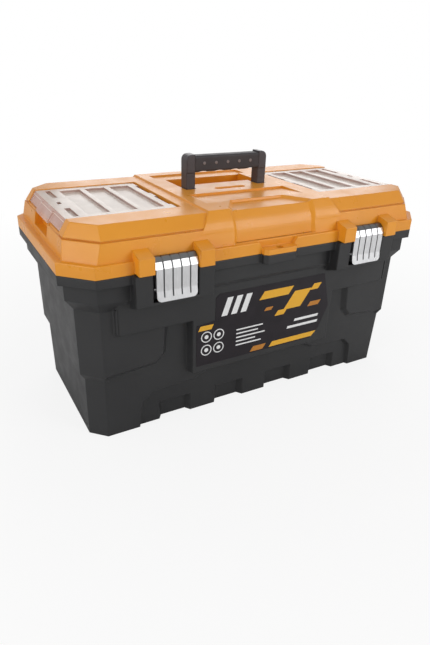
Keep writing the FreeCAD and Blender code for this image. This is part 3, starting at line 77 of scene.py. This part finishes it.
def two_tones(tree, fac, dark, light):
    """A colour that runs from dark to light with the noise."""
    node = add_node(tree, "ShaderNodeValToRGB", Fac=fac)
    stops = ((NOISE_LOW, dark), (NOISE_HIGH, light))
    for element, (position, colour) in zip(node.color_ramp.elements, stops):
        element.position = position
        element.color = (*colour, 1.0)
    return node.outputs["Color"]


def grey_range(tree, fac, low, high):
    """A number that runs from low to high with the noise."""
    node = add_node(tree, "ShaderNodeMapRange", Value=fac, From_Min=NOISE_LOW,
                    From_Max=NOISE_HIGH, To_Min=low, To_Max=high)
    return node.outputs["Result"]


def overlay(tree, colour, mask, ink):
    """The ink where the mask is one, over the colour."""
    mix = tree.nodes.new("ShaderNodeMix")
    mix.data_type = "RGBA"
    tree.links.new(mask, mix.inputs["Factor"])
    tree.links.new(colour, mix.inputs[MIX_BELOW])
    mix.inputs[MIX_INK].default_value = (*ink, 1.0)
    return mix.outputs[MIX_RESULT]


def soft_edge_bump(tree, shader, height, strength, distance, edge_radius):
    """Fine relief on top of softly rounded moulded edges."""
    edge = add_node(tree, "ShaderNodeBevel", Radius=edge_radius)
    edge.samples = EDGE_SAMPLES
    bump = add_node(tree, "ShaderNodeBump", Height=height, Strength=strength, Distance=distance,
                    Normal=edge.outputs["Normal"])
    tree.links.new(bump.outputs["Normal"], shader.inputs["Normal"])


def dress(finish, *names):
    """Puts a finish on CAD nodes whose shape is right as it is."""
    for name in names:
        for slot in nodes[name].material_slots:
            slot.material = finish


# Moulded plastics

CLOUD_SCALE, PATCH_SCALE = 9.0, 38.0
ROUGHNESS_SPREAD = 0.06
GRAIN_STRENGTH = 0.25
PLAIN_SPECULAR, LID_SPECULAR = 0.4, 0.5


def moulded_nodes(name, dark, light, rough, grain, edge_radius, specular=PLAIN_SPECULAR):
    """Injection-moulded plastic: faint flow clouds, spark-eroded grain and rounded edges."""
    finish, tree, shader, place = new_finish(name)
    clouds = noise(tree, place, CLOUD_SCALE, detail=3.0)
    colour = two_tones(tree, clouds, dark, light)
    tree.links.new(colour, shader.inputs["Base Color"])
    patches = noise(tree, place, PATCH_SCALE, detail=4.0)
    roughness = grey_range(tree, patches, rough - ROUGHNESS_SPREAD, rough + ROUGHNESS_SPREAD)
    tree.links.new(roughness, shader.inputs["Roughness"])
    shader.inputs["Specular IOR Level"].default_value = specular
    height = noise(tree, place, grain)
    soft_edge_bump(tree, shader, height, GRAIN_STRENGTH, RELIEF_DEPTH, edge_radius)
    return finish, tree, shader, place, colour


# Name, dark and light colour, roughness, grain, edge radius, specular and pieces
MOULDED = (
    ("tub_plastic", (0.020, 0.020, 0.021), (0.027, 0.027, 0.028), 0.46, 1500.0, 0.0028,
     PLAIN_SPECULAR, ("base_tub",)),
    ("lid_plastic", (0.77, 0.290, 0.013), (0.83, 0.330, 0.021), 0.32, 1300.0, 0.0016,
     LID_SPECULAR, ("lid_shell",)),
    ("tray_plastic", (0.020, 0.020, 0.021), (0.028, 0.028, 0.029), 0.5, 1200.0, 0.001,
     PLAIN_SPECULAR, ("inner_tray", "tray_handle")),
    ("divider_plastic", (0.05, 0.05, 0.052), (0.07, 0.07, 0.072), 0.5, 1200.0, 0.0006,
     PLAIN_SPECULAR, ("left_organiser_dividers", "right_organiser_dividers", "tray_dividers")),
    ("handle_plastic", (0.050, 0.042, 0.046), (0.066, 0.056, 0.061), 0.36, 1500.0, 0.0015,
     PLAIN_SPECULAR, ("handle_frame", "handle_pivot_pins")),
)

# The grip's studs stand out past this depth
STUD_DEPTH = -0.00515
STUD_COLOUR = (0.20, 0.17, 0.17)


def grip_finish():
    """Soft sleeve, with paler studs standing out of its front."""
    finish, tree, shader, place, sleeve = moulded_nodes(
        "soft_grip", dark=(0.030, 0.026, 0.029), light=(0.044, 0.038, 0.042), rough=0.55,
        grain=900.0, edge_radius=0.001)
    depth = add_node(tree, "ShaderNodeSeparateXYZ", Vector=place).outputs["Y"]
    stud = math_node(tree, "LESS_THAN", depth, STUD_DEPTH)
    tree.links.new(overlay(tree, sleeve, stud, STUD_COLOUR), shader.inputs["Base Color"])
    return finish


# Clear covers

COVER_TOP, POCKET_FLOOR, LEVEL_TOLERANCE = 293.2 * MM, 289.7 * MM, 0.3 * MM
# Painted light: the rosy wall tones are painted shade and reflection on the upright walls, and the
# pale flat colour is painted light on the top and pocket floor, which are also made more opaque
WALL_PAINTED_SHADE_DARK, WALL_PAINTED_SHADE_LIGHT = (0.74, 0.52, 0.47), (0.86, 0.65, 0.60)
FLAT_PAINTED_LIGHT = (0.95, 0.85, 0.76)
WALL_ALPHA_LOW, WALL_ALPHA_HIGH, FLAT_EXTRA_ALPHA = 0.40, 0.52, 0.24
COVER_ROUGHNESS = 0.16


def clear_finish():
    """Milky clear cover with painted light: pale where it lies flat as if lit, rosier and clearer
    in its upright walls, whose colour is painted shade and reflection.
    """
    finish, tree, shader, place = new_finish("milky_clear")
    clouds = noise(tree, place, scale=26.0, detail=3.0)
    wall = two_tones(tree, clouds, WALL_PAINTED_SHADE_DARK, WALL_PAINTED_SHADE_LIGHT)
    height = add_node(tree, "ShaderNodeSeparateXYZ", Vector=place).outputs["Z"]
    # The flat faces at the top and the pocket floor get the painted lit colour over the walls'
    # painted shade
    on_top = math_node(tree, "COMPARE", height, COVER_TOP, LEVEL_TOLERANCE)
    on_floor = math_node(tree, "COMPARE", height, POCKET_FLOOR, LEVEL_TOLERANCE)
    flat = math_node(tree, "MAXIMUM", on_top, on_floor)
    tree.links.new(overlay(tree, wall, flat, FLAT_PAINTED_LIGHT), shader.inputs["Base Color"])
    milky = grey_range(tree, clouds, WALL_ALPHA_LOW, WALL_ALPHA_HIGH)
    dense = math_node(tree, "MULTIPLY_ADD", flat, FLAT_EXTRA_ALPHA, milky)
    tree.links.new(dense, shader.inputs["Alpha"])
    shader.inputs["Roughness"].default_value = COVER_ROUGHNESS
    ripple = noise(tree, place, scale=140.0)
    soft_edge_bump(tree, shader, ripple, strength=0.1, distance=RELIEF_DEPTH,
                   edge_radius=0.0008)
    return finish


# Latches

LATCH_CENTRE = 150.5 * MM
GROOVE_COUNT, GROOVE_PITCH, GROOVE_HALF_WIDTH = 4, 11.4 * MM, 0.9 * MM
GROOVE_END, HOOK_SHOULDER = 209.0 * MM, 252.2 * MM
PLATE_DARK, PLATE_LIGHT = (0.61, 0.61, 0.62), (0.75, 0.75, 0.76)
# Painted shade in the grooves, and a painted dark reflection on the hook above its shoulder
GROOVE_PAINTED_SHADE, HOOK_PAINTED_REFLECTION = (0.09, 0.09, 0.095), (0.18, 0.185, 0.19)
BRUSHING_STRETCH = (8.0, 1.0, 0.4)


def plated_finish():
    """Plated latch sheet: brushed along its height, with painted shade in the grooves and a
    painted dark reflection on the hook.
    """
    finish, tree, shader, place = new_finish("bright_plate")
    brushing = noise(tree, place, scale=300.0, detail=3.0, stretch=BRUSHING_STRETCH)
    colour = two_tones(tree, brushing, PLATE_DARK, PLATE_LIGHT)
    parts = add_node(tree, "ShaderNodeSeparateXYZ", Vector=place)
    from_middle_of_box = math_node(tree, "ABSOLUTE", parts.outputs["X"])
    from_latch_centre = math_node(tree, "SUBTRACT", from_middle_of_box, LATCH_CENTRE)
    grooves = None
    for index in range(GROOVE_COUNT):
        groove_place = (index - (GROOVE_COUNT - 1) / 2) * GROOVE_PITCH
        here = math_node(tree, "COMPARE", from_latch_centre, groove_place, GROOVE_HALF_WIDTH)
        grooves = here if grooves is None else math_node(tree, "MAXIMUM", grooves, here)
    above_end = math_node(tree, "GREATER_THAN", parts.outputs["Z"], GROOVE_END)
    grooves = math_node(tree, "MULTIPLY", grooves, above_end)
    hook = math_node(tree, "GREATER_THAN", parts.outputs["Z"], HOOK_SHOULDER)
    # Paints the grooves' shade and the hook's dark reflection over the plate
    colour = overlay(tree, colour, grooves, GROOVE_PAINTED_SHADE)
    colour = overlay(tree, colour, hook, HOOK_PAINTED_REFLECTION)
    tree.links.new(colour, shader.inputs["Base Color"])
    roughness = grey_range(tree, brushing, low=0.30, high=0.42)
    tree.links.new(roughness, shader.inputs["Roughness"])
    shader.inputs["Metallic"].default_value = 1.0
    soft_edge_bump(tree, shader, brushing, strength=0.08, distance=RELIEF_DEPTH,
                   edge_radius=0.0004)
    return finish


def wire_finish():
    """Drawn steel wire, for the bails and the hinge rods."""
    finish, tree, shader, place = new_finish("drawn_wire")
    streaks = noise(tree, place, scale=500.0)
    colour = two_tones(tree, streaks, dark=(0.42, 0.42, 0.43), light=(0.60, 0.60, 0.61))
    tree.links.new(colour, shader.inputs["Base Color"])
    roughness = grey_range(tree, streaks, low=0.28, high=0.42)
    tree.links.new(roughness, shader.inputs["Roughness"])
    shader.inputs["Metallic"].default_value = 1.0
    return finish


# Label: printed bars in millimetres, as middle, size, and lean of the upright sides

YELLOW_BARS = (
    (14, 172, 50, 12, 0.7), (52, 156, 30, 26, 0.7), (84, 170, 14, 9, 0.7), (-98, 142, 20, 7, 0.5),
    (58, 91, 96, 8, 0.7), (24, 140, 16, 8, 0.7),
)
AMBER_BARS = ((84, 143, 20, 7, 0.7), (2, 150, 12, 5, 0.7), (-12, 91, 22, 8, 0.7))
WHITE_BARS = (
    (-66, 167, 9, 26, 0.35), (-51, 167, 9, 26, 0.35), (-36, 167, 9, 26, 0.35),
    (-28, 128, 44, 2, 0.0), (-32, 122, 36, 2, 0.0), (-26, 116, 48, 2, 0.0),
    (-34, 110, 32, 2, 0.0), (-29, 104, 42, 2, 0.0), (72, 122, 44, 4, 0.35), (66, 112, 56, 4, 0.35),
)
WHITE_RINGS = ((-97, 128), (-78, 128), (-97, 108), (-78, 108))
RING_RADIUS, RING_HALF_LINE, RING_DOT = 7.5, 0.7, 3.0
YELLOW_INK, AMBER_INK, WHITE_INK = (0.80, 0.42, 0.035), (0.50, 0.20, 0.030), (0.82, 0.82, 0.82)
LABEL_DARK, LABEL_LIGHT = (0.012, 0.009, 0.012), (0.017, 0.013, 0.017)
LABEL_SPECULAR = 0.28


def bar_mask(tree, across_x, up_z, bar):
    """One where the label lies inside a leaning bar."""
    x, z, length, height, lean = bar
    leaned = math_node(tree, "MULTIPLY_ADD", up_z, -lean, across_x)
    inside = math_node(tree, "COMPARE", leaned, (x - lean * z) * MM, length / 2 * MM)
    level = math_node(tree, "COMPARE", up_z, z * MM, height / 2 * MM)
    return math_node(tree, "MULTIPLY", inside, level)


def ring_mask(tree, across_x, up_z, ring):
    """One on a thin ring and on the dot in its middle."""
    from_x = math_node(tree, "SUBTRACT", across_x, ring[0] * MM)
    from_z = math_node(tree, "SUBTRACT", up_z, ring[1] * MM)
    square = math_node(tree, "MULTIPLY", from_x, from_x)
    square = math_node(tree, "MULTIPLY_ADD", from_z, from_z, square)
    reach = math_node(tree, "SQRT", square)
    line = math_node(tree, "COMPARE", reach, RING_RADIUS * MM, RING_HALF_LINE * MM)
    dot = math_node(tree, "LESS_THAN", reach, RING_DOT * MM)
    return math_node(tree, "MAXIMUM", line, dot)


def label_finish():
    """Printed film: dark ground with leaning bars, thin lines and dotted rings."""
    finish, tree, shader, place = new_finish("label_print")
    parts = add_node(tree, "ShaderNodeSeparateXYZ", Vector=place)
    across_x, up_z = parts.outputs["X"], parts.outputs["Z"]
    clouds = noise(tree, place, scale=60.0, detail=3.0)
    colour = two_tones(tree, clouds, LABEL_DARK, LABEL_LIGHT)
    layers = (
        (YELLOW_INK, [bar_mask(tree, across_x, up_z, bar) for bar in YELLOW_BARS]),
        (AMBER_INK, [bar_mask(tree, across_x, up_z, bar) for bar in AMBER_BARS]),
        (WHITE_INK, [bar_mask(tree, across_x, up_z, bar) for bar in WHITE_BARS]
         + [ring_mask(tree, across_x, up_z, ring) for ring in WHITE_RINGS]),
    )
    for ink, masks in layers:
        printed = masks[0]
        for mask in masks[1:]:
            printed = math_node(tree, "MAXIMUM", printed, mask)
        colour = overlay(tree, colour, printed, ink)
    tree.links.new(colour, shader.inputs["Base Color"])
    roughness = grey_range(tree, clouds, low=0.30, high=0.38)
    tree.links.new(roughness, shader.inputs["Roughness"])
    shader.inputs["Specular IOR Level"].default_value = LABEL_SPECULAR
    height = noise(tree, place, scale=400.0)
    soft_edge_bump(tree, shader, height, strength=0.1, distance=0.0001, edge_radius=0.0003)
    return finish


for name, dark, light, rough, grain, edge_radius, specular, pieces in MOULDED:
    finish = moulded_nodes(name, dark, light, rough, grain, edge_radius, specular)[0]
    dress(finish, *pieces)
dress(grip_finish(), "handle_grip")
dress(label_finish(), "front_label")
dress(clear_finish(), "left_organiser_cover", "right_organiser_cover")
dress(plated_finish(), "left_latch_lever", "right_latch_lever")
dress(wire_finish(), "left_latch_bail", "right_latch_bail", "left_lid_hinge_rod",
      "right_lid_hinge_rod", "left_cover_hinge_rod", "right_cover_hinge_rod")


# Floor, light and camera

WHITE = (1.0, 1.0, 1.0, 1.0)
FLOOR_SIZE, FLOOR_HEIGHT = 12.0, -0.0004
FLOOR_COLOUR = (0.9, 0.9, 0.9, 1.0)
# The floor's own white, as the camera sees it, from beside the box to further away
NEAR_DISTANCE, FAR_DISTANCE = 0.35, 1.1
NEAR_WHITE, FAR_WHITE = 0.84, 1.0

# Strength of the white surroundings: as the camera sees them, in reflections, and as light
SKY_SEEN, SKY_MIRRORED, SKY_LIT = 1.0, 0.62, 0.39

# Name, place, aim and size in metres, and power in watts
LIGHTS = (
    ("overhead", (-0.2, -0.1, 1.7), (0, 0, 0.2), 1.6, 2.0),
    ("back_sky", (0.9, 1.55, 1.05), (0, 0, 0.25), 1.7, 12.0),
    ("left_side", (-1.7, -0.5, 0.8), (-0.2, 0, 0.15), 1.2, 10.5),
    ("front_fill", (1.1, -1.7, 0.9), (0.1, 0, 0.15), 1.2, 15.5),
)

SENSOR_WIDTH = 36.0
CLIP_NEAR, CLIP_FAR = 0.01, 50.0


def light_path_strength(tree, seen, mirrored, lit):
    """One strength for what the camera sees, others for reflections and for diffuse light."""
    path = tree.nodes.new("ShaderNodeLightPath").outputs
    reflected = add_node(tree, "ShaderNodeMapRange", Value=path["Is Glossy Ray"], To_Min=lit,
                         To_Max=mirrored)
    direct = math_node(tree, "MAXIMUM", path["Is Camera Ray"], path["Is Transmission Ray"])
    return add_node(tree, "ShaderNodeMapRange", Value=direct,
                    To_Min=reflected.outputs["Result"], To_Max=seen).outputs["Result"]


def make_floor():
    """A matt floor that the camera sees as near white, and white further away."""
    bpy.ops.object.select_all(action="DESELECT")
    bpy.ops.mesh.primitive_plane_add(size=FLOOR_SIZE, location=(0, 0, FLOOR_HEIGHT))
    floor = bpy.context.object
    floor.name = "floor"
    finish = bpy.data.materials.new("studio_floor")
    finish.use_nodes = True
    tree = finish.node_tree
    tree.nodes.clear()
    output = tree.nodes.new("ShaderNodeOutputMaterial")
    matt = add_node(tree, "ShaderNodeBsdfDiffuse", Color=FLOOR_COLOUR)
    glow = add_node(tree, "ShaderNodeEmission", Color=WHITE, Strength=1.0)
    path = tree.nodes.new("ShaderNodeLightPath")
    place = tree.nodes.new("ShaderNodeTexCoord").outputs["Object"]
    away = add_node(tree, "ShaderNodeVectorMath")
    away.operation = "LENGTH"
    tree.links.new(place, away.inputs[0])
    white = add_node(tree, "ShaderNodeMapRange", Value=away.outputs["Value"],
                     From_Min=NEAR_DISTANCE, From_Max=FAR_DISTANCE, To_Min=NEAR_WHITE,
                     To_Max=FAR_WHITE)
    share = math_node(tree, "MULTIPLY", path.outputs["Is Camera Ray"], white.outputs["Result"])
    mix = tree.nodes.new("ShaderNodeMixShader")
    tree.links.new(share, mix.inputs[0])
    tree.links.new(matt.outputs[0], mix.inputs[1])
    tree.links.new(glow.outputs[0], mix.inputs[2])
    tree.links.new(mix.outputs[0], output.inputs["Surface"])
    floor.data.materials.append(finish)


def make_world():
    """White surroundings."""
    world = bpy.data.worlds.new("studio")
    bpy.context.scene.world = world
    world.use_nodes = True
    tree = world.node_tree
    background = next(n for n in tree.nodes if n.type == "BACKGROUND")
    background.inputs["Color"].default_value = WHITE
    strength = light_path_strength(tree, SKY_SEEN, SKY_MIRRORED, SKY_LIT)
    tree.links.new(strength, background.inputs["Strength"])


def area_light(name, place, aim, size, power):
    """A square lamp at a place, turned to its aim."""
    lamp = bpy.data.lights.new(name, "AREA")
    lamp.shape = "SQUARE"
    lamp.size = size
    lamp.energy = power
    holder = bpy.data.objects.new(name, lamp)
    bpy.context.scene.collection.objects.link(holder)
    holder.location = place
    direction = Vector(aim) - Vector(place)
    holder.rotation_mode = "QUATERNION"
    holder.rotation_quaternion = direction.to_track_quat("-Z", "Y")


def make_camera():
    """The photograph's viewpoint: heading, height, roll and distance fitted to it."""
    heading, height, roll = math.radians(-30.062), math.radians(26.570), math.radians(1.802)
    distance = 857.27 * MM
    target = Vector((-10.016, 0.0, 72.750)) * MM
    focal_pixels = 517.549
    long_side_pixels = 645
    back = Vector((math.sin(heading) * math.cos(height), -math.cos(heading) * math.cos(height),
                   math.sin(height)))
    right = (-back).cross(Vector((0, 0, 1))).normalized()
    up = right.cross(-back)
    tilted_right = right * math.cos(roll) + up * math.sin(roll)
    tilted_up = up * math.cos(roll) - right * math.sin(roll)
    lens = bpy.data.cameras.new("camera")
    lens.sensor_width = SENSOR_WIDTH
    lens.lens = focal_pixels * lens.sensor_width / long_side_pixels
    lens.clip_start, lens.clip_end = CLIP_NEAR, CLIP_FAR
    camera = bpy.data.objects.new("camera", lens)
    bpy.context.scene.collection.objects.link(camera)
    turn = Matrix((tilted_right, tilted_up, back)).transposed()
    camera.rotation_mode = "QUATERNION"
    camera.rotation_quaternion = turn.to_quaternion()
    camera.location = target + back * distance
    bpy.context.scene.camera = camera


make_floor()
make_world()
for light in LIGHTS:
    area_light(*light)
make_camera()
bpy.context.scene.view_settings.view_transform = "Standard"
